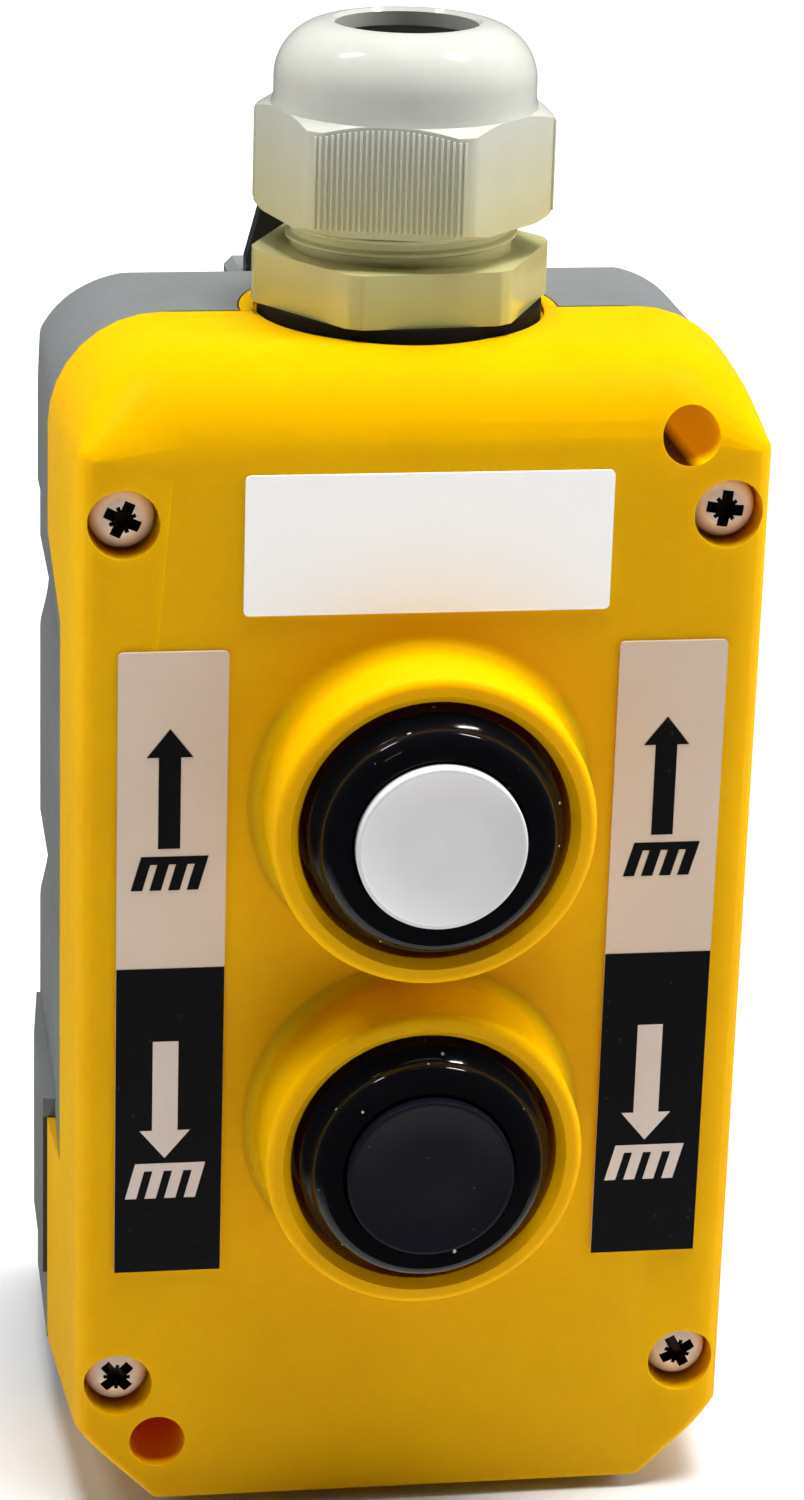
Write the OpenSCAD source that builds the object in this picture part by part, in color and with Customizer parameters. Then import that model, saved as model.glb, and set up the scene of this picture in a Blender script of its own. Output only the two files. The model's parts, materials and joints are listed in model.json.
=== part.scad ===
// Pendant push-button station for a hoist: moulded housing, cable gland and two sprung buttons.
// Millimetres. Z is up, the buttons face -Y, X runs across the front.
// Depths are counted from the front face of the cover towards the back.

/* [Housing] */
// width of the front face
face_w = 78; // [76:0.5:96]
// height of the cover at its rear edge
body_h = 141.5; // [139:0.5:172]
// depth of the housing from the front face to the back
body_d = 62; // [60:0.5:76]
// wall thickness of both mouldings
wall = 3; // [2.5:0.1:3.6]
// how much wider each side gets from the face to the parting line
flare = 1.7; // [1:0.1:3]
// radius of the large rounding between the face and the top
top_r = 11; // [9:0.5:12]
// radius of the two top corners seen from the front
corner_round = 13; // [12:0.5:15]
// radius of the small edge round the face
edge_r = 1.5; // [1:0.1:2]
// cut-off of the two bottom corners
corner_cut = 8.7; // [8:0.1:11]
// slope of the bottom between the rear edge and the face
foot_rise = 1.2; // [0.5:0.1:2]

/* [Parting line] */
// depth of the parting line at the top and at the bottom
part_d = 25; // [23:0.5:27]
// depth of the parting line along the finger grips
grip_d = 14; // [12:0.5:16]
// height at which the parting line steps forward
grip_low = 40; // [38:0.5:42]
// height at which the grip part of the parting line ends
grip_high = 108; // [104:0.5:110]
// height over which the line runs back to full depth
grip_ramp = 8; // [6:0.5:10]
// free gap between the two mouldings
part_gap = 0.2; // [0.1:0.05:0.3]

/* [Rear shell] */
// depth at which the shell starts to get narrower towards the back
draft_d = 44; // [40:0.5:50]
// slope of the top behind that depth, in degrees
top_draft = 14; // [8:1:18]
// slope of the sides behind that depth, in degrees
side_draft = 5; // [2:0.5:7]
// radius of the rear edges
rear_r = 6; // [4:0.5:8]
// how far the grip zone lies inside the side of the shell
grip_inset = 1; // [0.4:0.1:1.4]
// how far the bottom zone stands out at the sides
low_proud = 0.5; // [0.3:0.1:1]
// height of the bottom zone
low_z = 42.5; // [41:0.5:44]
// half length of a finger notch
notch_half = 6; // [5:0.5:7]
// depth of a finger notch
notch_deep = 1.4; // [0.8:0.1:1.8]
// height of the lower finger notch
notch_z = 62.3; // [60:0.1:64]
// distance between the finger notches
notch_pitch = 36.8; // [34:0.2:38]
// thickness of the stiffening ribs
rib_t = 1.8; // [1.4:0.1:2.4]
// height of the stiffening ribs
rib_h = 5; // [3:0.5:7]

/* [Cover screws] */
// distance of the screws from the side of the face
screw_in = 5.1; // [4.9:0.1:6]
// height of the lower screws
screw_low = 17.2; // [16:0.1:19]
// distance of the upper screws from the top
screw_down = 17.7; // [17:0.1:20]
// screw thread diameter
screw_d = 4; // [3.8:0.1:4.2]
// screw head diameter
screw_head_d = 7.5; // [7:0.1:7.8]
// screw head height
screw_head_h = 2.4; // [2:0.1:2.8]
// depth of the screw heads below the face
screw_sink = 2; // [1.5:0.1:2.5]
// length under the head
screw_len = 34; // [32:1:38]
// diameter of the screw pillars
pillar_d = 10.4; // [10:0.2:11]

/* [Through holes] */
// diameter of the two holes that pass through the whole housing
through_d = 6.6; // [6:0.1:7]
// distance of the upper right hole from the centre plane
through_x = 29.2; // [28:0.1:30]
// distance of the upper hole from the top
through_down = 8.7; // [8.5:0.1:10]
// height of the lower left hole
through_low = 9.5; // [9:0.1:10.5]
// wall round the through holes
through_wall = 1.8; // [1.5:0.1:2]

/* [Collars and buttons] */
// height of the lower button
button_z = 50.8; // [50:0.1:54]
// distance between the buttons
button_pitch = 40; // [39:0.5:44]
// outer diameter of a collar
collar_d = 36.4; // [35:0.2:37.4]
// inner diameter of a collar
well_d = 30.6; // [30.2:0.1:31]
// height of a collar above the face
collar_h = 11; // [10:0.5:12]
// depth of the well floor below the face
well_sink = 1; // [0.5:0.1:1.5]
// thickness of the well floor
floor_t = 3; // [2.5:0.1:3.5]
// diameter of the black bezel
bezel_d = 28.7; // [28:0.1:29]
// height of the bezel crown above its rim
bezel_crown = 4; // [3:0.1:4.4]
// diameter of the threaded sleeve
sleeve_d = 22; // [21.8:0.1:22.2]
// diameter of the coloured disc
disc_d = 19; // [18:0.1:19.2]
// thickness of the coloured disc
disc_t = 2; // [1.5:0.1:2.2]
// how far the disc stands above the collar
disc_proud = 4.3; // [4:0.1:5]
// stroke of a button
stroke = 4.5; // [4:0.1:5]

/* [Gland] */
// depth of the gland axis behind the face
gland_d = 26; // [26:0.5:27]
// diameter of the gland thread
gland_thread = 25; // [24:0.1:25.6]
// diameter of the washer
washer_d = 32.9; // [32:0.1:33.4]
// washer thickness
washer_t = 2; // [1.2:0.1:2.4]
// depth of the seat below the top of the cover
seat_sink = 0.6; // [0.4:0.1:1.4]
// width across flats of the body hexagon
body_af = 31; // [30:0.1:32]
// height of the body hexagon
body_hex_h = 6.2; // [4:0.1:7]
// width across flats of the cap nut
nut_af = 30.6; // [29.6:0.1:32]
// free neck between the two hexagons
neck_h = 3.8; // [3:0.1:7]
// height of the cap nut hexagon
nut_hex_h = 12.6; // [11:0.1:14]
// height of the conical shoulder of the cap nut
nut_cone_h = 1; // [0.8:0.1:3]
// height of the dome of the cap nut
dome_h = 8.4; // [8:0.1:9]
// diameter of the cable opening
cable_d = 16.4; // [14:0.1:17]
// length of the thread below the seat
gland_tail = 12; // [11:0.5:13]

/* [Labels and plate] */
// label thickness
label_t = 0.4; // [0.3:0.05:0.6]
// width of a direction label
label_w = 12.4; // [12:0.1:12.8]
// height of a direction label
label_h = 76.7; // [70:0.1:80]
// height of the lower edge of the direction labels
label_z = 32.4; // [32:0.1:36]
// distance of the direction labels from the centre plane
label_x = 22.1; // [22:0.1:22.4]
// width of the blank label
blank_w = 41.2; // [38:0.1:42]
// height of the blank label
blank_h = 16.2; // [15:0.1:17]
// distance of the blank label from the top
blank_down = 12.2; // [11.6:0.1:14]
// thickness of the suspension plate
plate_t = 3; // [2.5:0.1:3.5]
// half width of the suspension plate at its foot
plate_half = 15; // [14:0.1:17]
// height of the plate above the top of the cover
plate_up = 19.5; // [18:0.5:23]
// diameter of the eye
eye_d = 10; // [8:0.5:11]

/* [Hidden] */

$fn = 48;
// facets of the balls and discs inside a hull
hull_fn = 32;
// facets of the small edge balls
ball_fn = 12;
eps = 0.01;
reach = 200;

// colours
yellow = [0.93, 0.70, 0.05];
grey = [0.45, 0.49, 0.51];
black = [0.05, 0.05, 0.06];
pale = [0.80, 0.80, 0.74];
white = [0.90, 0.90, 0.90];
steel = [0.72, 0.72, 0.74];
zinc = [0.80, 0.68, 0.42];
copper = [0.80, 0.52, 0.30];
block_grey = [0.30, 0.31, 0.33];

// places shared by several pieces
face_half = face_w / 2;
rear_half = face_half + flare;
button_zs = [button_z + button_pitch, button_z];
floor_back = well_sink + floor_t;
gasket_t = well_sink;
disc_face = -(collar_h + disc_proud);
mid_d = (body_d + disc_face) / 2;
screw_x = face_half - screw_in;
screw_zs = [screw_low, body_h - screw_down];
through_r = through_d / 2;
tube_r = through_r + through_wall;
screw_seat = screw_sink + screw_head_h;
head_free = 0.25;
counterbore_r = screw_head_d / 2 + head_free;
screw_r = screw_d / 2;
screw_free = 0.15;
thread_free = 0.02;
pillar_r = pillar_d / 2;
corner_r = 5;
rear_in = body_d - wall;
rear_start = body_d - rear_r;
shell_half = rear_half;
shell_round = corner_round + 1.5;
shell_cut = corner_cut + 1;
tilt_side = 1;
tilt_top = 0.2;
grip_half = shell_half - grip_inset;
low_half = shell_half + low_proud;
rib_half = shell_half - rear_r;
pad_low = corner_cut + 10;

// strip seal in the parting line
seal_half = 0.6;
seal_in = 1.6;
seal_w = 1.2;

// gland heights
seat_z = body_h - seat_sink;
hex_z = seat_z + washer_t;
neck_z = hex_z + body_hex_h;
nut_z = neck_z + neck_h;
cone_z = nut_z + nut_hex_h;
dome_z = cone_z + nut_cone_h;
gland_top = dome_z + dome_h;
gland_r = gland_thread / 2;
washer_free = 0.4;
tongue_wall = 1.65;
tongue_r = washer_d / 2 + washer_free + tongue_wall;
under_seat = 3.5;
lock_h = 5;
lock_af = gland_thread + 5;
hex_slope = 30;
hex_round = 0.6;
pad_z = seat_z - under_seat;
gland_free = 0.15;
gland_bore = gland_r - 3.3;
neck_r = gland_r + 0.3;
neck_len = 12;
insert_r = gland_r - 0.9;
insert_seat = 3;
base_z = neck_z + neck_len - insert_seat;
seal_r = insert_r - 3.1;
seal_wall = 2.55;
seal_slope = 1.5;
cone_r = nut_af / 2;
dome_r = cone_r - 0.3;
cable_r = cable_d / 2;

// suspension plate and its lug
lug_half = plate_half + 1.6;
lug_front = body_d - 16;
lug_back = body_d - 2;
lug_low = body_h - 15.5;
lug_top = body_h - 1.9;
lug_chamfer = 1;
plate_front = body_d - 12;
plate_low = body_h - 13;
plate_free = 0.05;
plate_taper = 0.26;
plate_round = 11;
plate_screw_x = 9;
plate_screw_z = body_h - 8.5;
plate_screw_len = 9;
plate_screw_seat = lug_back - 3.2;

// button pieces
collar_r = collar_d / 2;
well_r = well_d / 2;
bezel_r = bezel_d / 2;
sleeve_r = sleeve_d / 2;
sleeve_free = 0.2;
sleeve_end = 20;
crown_r = 10.6;
mouth_r = disc_d / 2 + 0.4;
mouth_floor = disc_face + disc_t + stroke + 1.2;
guide_r = 9;
run = 0.05;
web_front = 6;
web_back = 9;
stem_r = 5;
stem_end = 14;
hook_r = 5.8;
hook_h = 1.4;
rear_bore = 9.6;
head_r = guide_r - run;
head_back = -2.5;
skirt_in = 7.9;
plate_under = disc_face + disc_t + 2;
peg_r = 2;
peg_h = 1.8;
nut_t = 5;
nut_r = 13.8;
key_w = 2.4;
key_h = 0.9;
coil_r = 6.5;
coil_wire = 0.55;
coil_turns = 7;
contact_coil_r = 3.1;
contact_wire = 0.35;
contact_turns = 5;

// contact block
block_half_x = 12;
block_half_z = 18.8;
block_front = sleeve_end;
block_back = 46;
block_wall = 2.4;
block_collar_r = 13.5;
block_collar = 7;
room_half = 12.3;
post_r = 3;
post_start = stem_end + 0.05;
carrier_front = 23;
carrier_back = 34;
carrier_half_x = 4;
carrier_half_z = 6;
pin_r = 2;
bridge_d = 27.5;
bridge_t = 0.8;
bridge_half_x = 2.5;
bridge_half_z = 11.6;
rivet_z = 9.8;
rivet_r = 1.5;
rivet_h = 0.8;
contact_gap = 0.15;
fixed_d = bridge_d + bridge_t + rivet_h + stroke + contact_gap + rivet_h;
fixed_t = 0.8;
fixed_half_x = 2.6;
fixed_in = 8;
fixed_out = 17.4;
terminal_z = 15.4;
terminal_r = 1.5;
terminal_head_r = 2.5;
terminal_head_h = 1.8;
terminal_len = 7;

// straight rod along the depth between two depths
module rod(from, to, r, x = 0, z = 0) {
    translate([x, from, z])
        rotate([-90, 0, 0])
            cylinder(r = r, h = to - from);
}

// ring along the depth
module tube(from, to, r_out, r_in, x = 0, z = 0) {
    difference() {
        rod(from, to, r_out, x, z);
        rod(from - eps, to + eps, r_in, x, z);
    }
}

// turned piece whose outline is drawn as radius against depth
module turned(x = 0, z = 0) {
    translate([x, 0, z])
        rotate([-90, 0, 0])
            rotate_extrude()
                children();
}

// depth-and-height outline stretched across the width
module across(half) {
    translate([-half, 0, 0])
        rotate([90, 0, 90])
            linear_extrude(2 * half)
                children();
}

// width-and-height outline stretched from one depth to another
module deep(from, to) {
    translate([0, to, 0])
        rotate([90, 0, 0])
            linear_extrude(to - from)
                children();
}

// moves a piece from face depths into the shared frame
module placed() {
    translate([0, -mid_d, 0])
        children();
}

// discs at the corners of the housing outline, ending at a given depth
module corner_discs(half, to) {
    from = to - 1;
    corner_t = corner_r * tan(22.5);
    for (s = [-1, 1]) {
        rod(from, to, corner_round, s * (half - corner_round), body_h - corner_round, $fn = hull_fn);
        rod(from, to, corner_r, s * (half - corner_r), corner_cut + corner_t, $fn = hull_fn);
        rod(from, to, corner_r, s * (half - corner_cut - corner_t), corner_r, $fn = hull_fn);
    }
}

// outer form of the cover, drawn about its middle height
module cover_form() {
    corner_x = face_half + flare * top_r / part_d - corner_round;
    crease_z = body_h - top_r;
    face_low = foot_rise + edge_r;
    translate([0, 0, body_h / 2])
        hull()
            translate([0, 0, -body_h / 2]) {
                corner_discs(rear_half, part_d);
                for (s = [-1, 1]) {
                    translate([s * corner_x, top_r, body_h - corner_round])
                        rotate([90, 0, 0])
                            rotate_extrude($fn = hull_fn)
                                intersection() {
                                    translate([corner_round - top_r, 0])
                                        circle(top_r, $fn = hull_fn);
                                    translate([0, -top_r])
                                        square([corner_round, 2 * top_r]);
                                }
                    for (p = [
                        [face_half, crease_z], [face_half, face_low + corner_cut], [face_half - corner_cut, face_low]
                    ])
                        translate([s * (p[0] - edge_r), edge_r, p[1]])
                            sphere(edge_r, $fn = ball_fn);
                }
            }
}

// hollow of the cover, one wall inside its form
module cover_room() {
    half = face_half - wall;
    intersection() {
        deep(wall, part_d + 1)
            inner_outline(wall);
        across(reach) {
            translate([wall, 0])
                square([part_d, body_h - top_r]);
            translate([top_r, 0])
                square([part_d, body_h - wall]);
            translate([top_r, body_h - top_r])
                circle(top_r - wall);
        }
        linear_extrude(reach)
            polygon([
                [-half, wall], [half, wall], [half + flare, part_d + wall], [-half - flare, part_d + wall]
            ]);
    }
}

// side view of everything in front of the parting line
module parting_outline(back = 0) {
    polygon([
        [-reach, -reach],
        [part_d + back, -reach],
        [part_d + back, grip_low + back],
        [grip_d + back, grip_low + back],
        [grip_d + back, grip_high],
        [part_d + back, grip_high + grip_ramp],
        [part_d + back, reach],
        [-reach, reach]
    ]);
}

// place of the two through holes
module through_places() {
    translate([through_x, 0, body_h - through_down])
        children();
    translate([-through_x, 0, through_low])
        children();
}

// place of the four cover screws
module screw_places() {
    for (s = [-1, 1])
        for (z = screw_zs)
            translate([s * screw_x, 0, z])
                children();
}

// front view of the housing outline with two cut bottom corners and two round top corners
module housing_outline(half, top, low, r, cut) {
    polygon([
        [-half, low + cut], [cut - half, low], [half - cut, low],
        [half, low + cut], [half, top - r], [-half, top - r]
    ]);
    translate([r - half, top - 2 * r])
        square([2 * (half - r), 2 * r]);
    for (s = [-1, 1])
        translate([s * (half - r), top - r])
            circle(r);
}

// housing outline at the parting line, moved in by a distance
module inner_outline(in) {
    housing_outline(rear_half - in, body_h - in, in, corner_round - in, corner_cut + 1 - in * (2 - sqrt(2)));
}

// strip seal that follows the parting line and runs round the gland tongue
module seal_body() {
    difference() {
        intersection() {
            deep(0, body_d)
                difference() {
                    inner_outline(seal_in);
                    inner_outline(seal_in + seal_w);
                }
            across(reach)
                difference() {
                    parting_outline(part_gap / 2 + seal_half);
                    parting_outline(part_gap / 2 - seal_half);
                }
        }
        translate([0, gland_d, pad_z])
            cylinder(r = tongue_r, h = reach);
    }
    translate([0, gland_d, body_h - seal_in - seal_w])
        difference() {
            cylinder(r = tongue_r + seal_half, h = seal_w);
            cylinder(r = tongue_r - seal_half, h = seal_w);
            translate([-reach, -reach - gland_d + part_d + part_gap / 2, -eps])
                cube([2 * reach, reach, seal_w + 2 * eps]);
        }
}

// outline of one collar, radius against depth
module collar_outline() {
    lip = 1;
    foot = 1.6;
    difference() {
        union() {
            translate([0, -collar_h + lip])
                square([collar_r, collar_h + floor_back - lip]);
            translate([0, -collar_h])
                square([collar_r - lip, lip + eps]);
            translate([collar_r - lip, -collar_h + lip])
                circle(lip);
            difference() {
                translate([collar_r - eps, -foot])
                    square([foot, foot + eps]);
                translate([collar_r + foot, -foot])
                    circle(foot);
            }
        }
        translate([0, -collar_h - eps])
            square([well_r, collar_h + well_sink + eps]);
        translate([0, -collar_h - eps])
            polygon([[0, 0], [well_r + lip, 0], [well_r, lip], [0, lip]]);
    }
}

module front_cover() {
    color(yellow) placed() difference() {
        union() {
            intersection() {
                difference() {
                    cover_form();
                    cover_room();
                }
                across(reach)
                    parting_outline();
            }
            for (z = button_zs)
                turned(0, z)
                    collar_outline();
            // pillars and tubes, trimmed to the outer form
            intersection() {
                cover_form();
                union() {
                    screw_places()
                        rod(0, part_d, pillar_r);
                    through_places()
                        rod(0, part_d, tube_r);
                    // thick pad under the gland
                    translate([0, gland_d, pad_z])
                        cylinder(r = tongue_r, h = reach);
                }
            }
            // tongue that carries the rear half of the gland
            translate([0, gland_d, pad_z])
                difference() {
                    cylinder(r = tongue_r, h = body_h - pad_z);
                    translate([-reach, -reach - gland_d + part_d - eps, -eps])
                        cube([2 * reach, reach, reach]);
                }
        }
        for (z = button_zs) {
            rod(-1, well_sink, well_r, 0, z);
            rod(0, floor_back + eps, sleeve_r + sleeve_free, 0, z);
            // keyway against turning
            translate([-key_w / 2 - run, well_sink - eps, z])
                cube([key_w + 2 * run, floor_t + 2 * eps, sleeve_r + key_h + run]);
        }
        screw_places() {
            rod(-1, screw_seat, counterbore_r);
            rod(0, part_d + 1, screw_r + screw_free);
        }
        through_places()
            rod(-1, part_d + 1, through_r);
        translate([0, gland_d, pad_z - 1])
            cylinder(r = gland_r + gland_free, h = reach);
        translate([0, gland_d, seat_z])
            cylinder(r = washer_d / 2 + washer_free, h = reach);
        seal_body();
    }
}

// how far a drafted side has moved in where it meets a rear rounding
function draft_in(r, slope) = (rear_start + r * sin(slope) - draft_d) * tan(slope);

// section of the shell along the depth, with both rear corners rounded
module shell_section(low, high, low_slope, high_slope, r) {
    low_in = draft_in(r, low_slope);
    high_in = draft_in(r, high_slope);
    low_arc = low + low_in + r * cos(low_slope);
    high_arc = high - high_in - r * cos(high_slope);
    polygon([
        [0, low], [draft_d, low], [rear_start + r * sin(low_slope), low + low_in],
        [rear_start, low_arc], [rear_start, high_arc],
        [rear_start + r * sin(high_slope), high - high_in], [draft_d, high], [0, high]
    ]);
    translate([0, low_arc])
        square([rear_start + r, high_arc - low_arc]);
    for (z = [low_arc, high_arc])
        translate([rear_start, z])
            circle(r);
}

// form of the shell, moved in by one distance and at the sides by another
module shell_form(in = 0, side_in = 0) {
    half = shell_half - side_in;
    intersection() {
        deep(part_d - in, body_d)
            housing_outline(half, body_h - in, in, shell_round - in, shell_cut);
        // the outline again, a little larger and tilted, so that the corners follow the slope of the top
        translate([0, draft_d, body_h])
            rotate([-top_draft, 0, 0])
                deep(-draft_d, body_d)
                    housing_outline(half + tilt_side, tilt_top - in, -2 * body_h, shell_round - in, shell_cut);
        across(reach)
            shell_section(in, body_h - in, 0, top_draft, rear_r - in);
        translate([0, 0, -1])
            linear_extrude(reach)
                rotate(90)
                    shell_section(-half, half, side_draft, side_draft, rear_r - in);
    }
}

// both sides of the shell, from one height to another
module both_sides(low, high) {
    for (s = [0, 1])
        mirror([s, 0, 0])
            translate([0, 0, low])
                linear_extrude(high - low)
                    children();
}

module rear_shell() {
    notch_r = (notch_half * notch_half + notch_deep * notch_deep) / (2 * notch_deep);
    grip_front = face_half + flare * grip_d / part_d;
    grip_top = grip_high + grip_ramp;
    pad_start = part_d + part_gap;
    color(grey) placed() difference() {
        union() {
            difference() {
                union() {
                    difference() {
                        shell_form();
                        // long shallow recess of the grips
                        both_sides(low_z, grip_top)
                            translate([grip_half, 0])
                                square(reach);
                    }
                    // pads that widen the bottom zone
                    both_sides(pad_low, low_z)
                        polygon([
                            [shell_half - wall, pad_start], [low_half, pad_start], [low_half, draft_d],
                            [low_half - draft_in(0, side_draft), rear_start],
                            [shell_half - wall, rear_start]
                        ]);
                    // tabs that rise along the grips
                    both_sides(grip_low, grip_top)
                        polygon([
                            [grip_front - wall, grip_d], [grip_front, grip_d],
                            [grip_half, part_d + 1], [grip_half - wall, part_d + 1]
                        ]);
                }
                shell_form(wall, wall + grip_inset);
                across(reach)
                    parting_outline(part_gap);
                // finger notches on both sides
                for (s = [-1, 1])
                    for (i = [0, 1])
                        rod(0, body_d + 1, notch_r, s * (grip_half - notch_deep + notch_r), notch_z + i * notch_pitch);
            }
            // pillars and tubes, trimmed to the outer form
            intersection() {
                shell_form();
                union() {
                    screw_places()
                        rod(part_d + part_gap, body_d, pillar_r);
                    through_places()
                        rod(part_d + part_gap, body_d, tube_r);
                }
            }
            // ribs on the back wall
            for (i = [0 : 2])
                translate([-rib_half, rear_in - rib_h, screw_low + 13 + i * notch_pitch - rib_t / 2])
                    cube([2 * rib_half, rib_h + 1, rib_t]);
            for (s = [-1, 1])
                translate([s * through_x / 2 - rib_t / 2, rear_in - rib_h, rear_r])
                    cube([rib_t, rib_h + 1, lug_low - rear_r + 1]);
            deep(lug_front, lug_back)
                polygon([
                    [-lug_half, lug_low], [lug_half, lug_low],
                    [lug_half, lug_top - lug_chamfer], [lug_half - lug_chamfer, lug_top],
                    [lug_chamfer - lug_half, lug_top], [-lug_half, lug_top - lug_chamfer]
                ]);
        }
        // room for the gland tongue and the lock nut
        translate([0, gland_d, seat_z - gland_tail - 1])
            cylinder(r = tongue_r + part_gap, h = reach);
        // slot of the suspension plate
        translate([-plate_half - plate_free, plate_front - plate_free, plate_low - plate_free])
            cube([2 * (plate_half + plate_free), plate_t + 2 * plate_free, reach]);
        for (s = [-1, 1]) {
            rod(lug_front + 1, plate_screw_seat + 1, screw_r + screw_free, s * plate_screw_x, plate_screw_z);
            rod(plate_screw_seat, body_d + 1, counterbore_r, s * plate_screw_x, plate_screw_z);
        }
        screw_places()
            rod(part_d, screw_seat + screw_len + 2, screw_r + thread_free);
        through_places()
            rod(part_d, body_d + 1, through_r);
        seal_body();
    }
}

module cover_seal() {
    color(black) placed()
        seal_body();
}

// pan head screw along the depth with a cross recess, head towards the front
module pan_screw(length, turn) {
    recess_w = 0.9;
    recess_l = 4.2;
    recess_h = 1.4;
    crown = 1;
    tip = 0.8;
    edge = screw_head_d / 2 - crown;
    difference() {
        union() {
            turned() {
                translate([0, crown - screw_head_h])
                    square([screw_head_d / 2, screw_head_h - crown]);
                translate([0, -screw_head_h])
                    square([edge, screw_head_h]);
                translate([edge, crown - screw_head_h])
                    circle(crown);
                square([screw_r, length - tip]);
                translate([0, length - tip - eps])
                    polygon([[0, 0], [screw_r, 0], [screw_r - tip, tip], [0, tip]]);
            }
        }
        rotate([0, turn, 0])
            for (a = [0, 90])
                rotate([0, a, 0])
                    translate([-recess_l / 2, -screw_head_h - eps, -recess_w / 2])
                        cube([recess_l, recess_h, recess_w]);
    }
}

module cover_screws() {
    turns = [20, 65, 38, 5];
    color(zinc) placed()
        for (i = [0, 1])
            for (j = [0, 1])
                translate([(2 * i - 1) * screw_x, screw_seat, screw_zs[j]])
                    pan_screw(screw_len, turns[2 * i + j]);
}

module suspension_plate() {
    color(black) placed() difference() {
        deep(plate_front, plate_front + plate_t)
            union() {
                polygon([
                    [-plate_half, plate_low], [plate_half, plate_low], [plate_half, body_h],
                    [plate_half - plate_taper * (plate_up - plate_round), body_h + plate_up - plate_round],
                    [plate_taper * (plate_up - plate_round) - plate_half, body_h + plate_up - plate_round],
                    [-plate_half, body_h]
                ]);
                intersection() {
                    translate([0, body_h + plate_up - plate_round])
                        circle(plate_half - plate_taper * (plate_up - plate_round));
                    translate([-reach, body_h + plate_up - plate_round - eps])
                        square([2 * reach, plate_round]);
                }
            }
        rod(0, body_d, eye_d / 2, 0, body_h + plate_up - plate_round + 1);
        for (s = [-1, 1])
            rod(0, body_d, screw_r + thread_free, s * plate_screw_x, plate_screw_z);
    }
}

module plate_screws() {
    color(steel) placed()
        for (s = [-1, 1])
            translate([s * plate_screw_x, plate_screw_seat, plate_screw_z])
                rotate([180, 0, 0])
                    pan_screw(plate_screw_len, 30 * s);
}

// hexagon whose corners are turned to a cone at the bottom and at the top
module hexagon(af, h, low_cone, high_cone) {
    corner = af / sqrt(3) + eps;
    cone_h = (corner - af / 2) * tan(hex_slope);
    intersection() {
        cylinder(r = af / sqrt(3), h = h, $fn = 6);
        cylinder(r = af / sqrt(3) - hex_round, h = h);
        rotate_extrude()
            polygon([
                [0, 0], [corner - low_cone * (corner - af / 2), 0], [corner, low_cone * cone_h],
                [corner, h - high_cone * cone_h], [corner - high_cone * (corner - af / 2), h], [0, h]
            ]);
    }
}

module gland_body() {
    turn = 4.5;
    color(pale) placed() translate([0, gland_d, 0]) difference() {
        union() {
            translate([0, 0, hex_z])
                rotate(turn)
                    hexagon(body_af, body_hex_h, 0.1, 0.2);
            translate([0, 0, seat_z - gland_tail])
                cylinder(r = gland_r, h = hex_z - seat_z + gland_tail + eps);
            translate([0, 0, neck_z - eps])
                cylinder(r = neck_r, h = neck_len);
        }
        translate([0, 0, seat_z - gland_tail - 1])
            cylinder(r = gland_bore, h = reach);
        translate([0, 0, base_z])
            cylinder(r = insert_r + run, h = reach);
    }
}

// outline of the cap nut above its hexagon, radius against height
module dome_outline() {
    shoulder = dome_r - cable_r - 0.3;
    translate([0, cone_z - eps])
        polygon([[0, 0], [cone_r, 0], [dome_r, nut_cone_h], [0, nut_cone_h]]);
    translate([0, dome_z - eps])
        square([dome_r, dome_h - shoulder]);
    translate([0, dome_z - eps])
        square([dome_r - shoulder, dome_h]);
    intersection() {
        translate([0, dome_z])
            square([dome_r, dome_h]);
        translate([dome_r - shoulder, gland_top - shoulder])
            circle(shoulder);
    }
}

module gland_nut() {
    turn = -14.5;
    lip = 0.4;
    lip_z = gland_top - 2.6;
    neck_top = neck_z + neck_len;
    color(pale) placed() translate([0, gland_d, 0]) difference() {
        union() {
            translate([0, 0, nut_z])
                rotate(turn)
                    hexagon(nut_af, nut_hex_h, 0.7, 0.9);
            rotate_extrude()
                dome_outline();
        }
        rotate_extrude()
            polygon([
                [0, nut_z - 1], [neck_r + run, nut_z - 1], [neck_r + run, neck_top + 0.5],
                [insert_r + 0.5, neck_top + 1.5], [cable_r + 1.4, lip_z],
                [cable_r, lip_z + 0.6], [cable_r, gland_top - lip],
                [cable_r + lip, gland_top + eps], [0, gland_top + 1]
            ]);
    }
}

module gland_insert() {
    fingers = 10;
    slot = 1;
    ring_h = insert_seat + 0.4;
    finger_top = gland_top - 3.2;
    color(pale) placed() translate([0, gland_d, 0]) difference() {
        rotate_extrude()
            polygon([
                [seal_r + run, base_z], [insert_r, base_z], [insert_r, base_z + ring_h],
                [cable_r + 1.3, finger_top], [cable_r - 0.4, finger_top], [seal_r + run, base_z + ring_h + 1.1]
            ]);
        for (i = [0 : fingers - 1])
            rotate(i * 360 / fingers)
                translate([0, -slot / 2, base_z + ring_h + 0.1])
                    cube([reach, slot, reach]);
    }
}

module gland_seal() {
    height = 6;
    color(black) placed() translate([0, gland_d, base_z]) difference() {
        cylinder(r1 = seal_r, r2 = seal_r - seal_slope, h = height);
        translate([0, 0, -1])
            cylinder(r = seal_r - seal_wall, h = height + 2);
    }
}

module gland_washer() {
    color(black) placed() translate([0, gland_d, seat_z]) difference() {
        cylinder(r = washer_d / 2, h = washer_t);
        translate([0, 0, -1])
            cylinder(r = gland_r + run, h = washer_t + 2);
    }
}

module gland_locknut() {
    color(pale) placed() translate([0, gland_d, pad_z - lock_h]) difference() {
        hexagon(lock_af, lock_h, 1, 1);
        translate([0, 0, -1])
            cylinder(r = gland_r + run, h = lock_h + 2);
    }
}

// flat label on the front face with rounded corners
module label(w, h, x, z) {
    r = 0.6;
    deep(-label_t, 0)
        union() {
            translate([x + r, z])
                square([w - 2 * r, h]);
            translate([x, z + r])
                square([w, h - 2 * r]);
            for (i = [r, w - r])
                for (j = [r, h - r])
                    translate([x + i, z + j])
                        circle(r);
        }
}

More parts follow.
